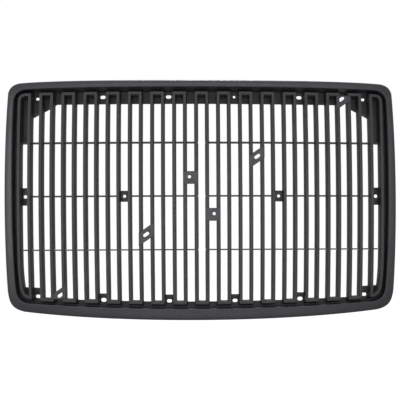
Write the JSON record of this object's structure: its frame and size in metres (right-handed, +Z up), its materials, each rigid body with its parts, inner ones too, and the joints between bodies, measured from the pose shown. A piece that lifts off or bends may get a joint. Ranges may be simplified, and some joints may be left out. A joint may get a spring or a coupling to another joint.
{
  "type": "vehicle front grille",
  "caption": "Wide bowed black plastic truck front grille: rounded surround, upright louvre loops, thin tie ribs, and tabs and slots for its fasteners, an emblem and a diagonal trim bar.",
  "frame": {"origin": "on the plane of symmetry, level with the middle of the surround's height, on the rear seating plane of the corners", "axes": "+X across the vehicle, to the right in a view of the front; +Y towards the rear of the vehicle, so the front looks along -Y; +Z up"},
  "size_m": [1.1254, 0.0967, 0.6923],
  "materials": {
    "satin_black_surround": "satin moulded black, smooth",
    "satin_black": "satin moulded black, fine grain",
    "zinc_steel": "bright zinc plated"
  },
  "bodies": {
    "root": {"carrier_bottom_rail": "satin_black", "carrier_left_stile": "satin_black", "carrier_right_stile": "satin_black", "carrier_top_rail": "satin_black", "diagonal_tab_inner_left": "satin_black", "diagonal_tab_inner_right": "satin_black", "diagonal_tab_outer_left": "satin_black", "diagonal_tab_outer_right": "satin_black", "emblem_tab_left": "satin_black", "emblem_tab_right": "satin_black", "louvre_loop_01": "satin_black", "louvre_loop_02": "satin_black", "louvre_loop_03": "satin_black", "louvre_loop_04": "satin_black", "louvre_loop_05": "satin_black", "louvre_loop_06": "satin_black", "louvre_loop_07": "satin_black", "louvre_loop_08": "satin_black", "louvre_loop_09": "satin_black", "louvre_loop_10": "satin_black", "louvre_loop_11": "satin_black", "louvre_loop_12": "satin_black", "louvre_loop_13": "satin_black", "louvre_loop_14": "satin_black", "louvre_loop_15": "satin_black", "louvre_loop_16": "satin_black", "louvre_loop_17": "satin_black", "mid_tab_left": "satin_black", "mid_tab_right": "satin_black", "screw_bottom_inner_left": "zinc_steel", "screw_bottom_inner_right": "zinc_steel", "screw_bottom_outer_left": "zinc_steel", "screw_bottom_outer_right": "zinc_steel", "screw_side_lower_left": "zinc_steel", "screw_side_lower_right": "zinc_steel", "screw_side_upper_left": "zinc_steel", "screw_side_upper_right": "zinc_steel", "screw_top_inner_left": "zinc_steel", "screw_top_inner_right": "zinc_steel", "screw_top_outer_left": "zinc_steel", "screw_top_outer_right": "zinc_steel", "side_tab_left": "satin_black", "side_tab_right": "satin_black", "surround_bezel": "satin_black_surround", "tie_rib_lower_left": "satin_black", "tie_rib_lower_right": "satin_black", "tie_rib_middle_inner_left": "satin_black", "tie_rib_middle_inner_right": "satin_black", "tie_rib_middle_outer_left": "satin_black", "tie_rib_middle_outer_right": "satin_black", "tie_rib_upper_left": "satin_black", "tie_rib_upper_right": "satin_black"}
  },
  "joints": []
}
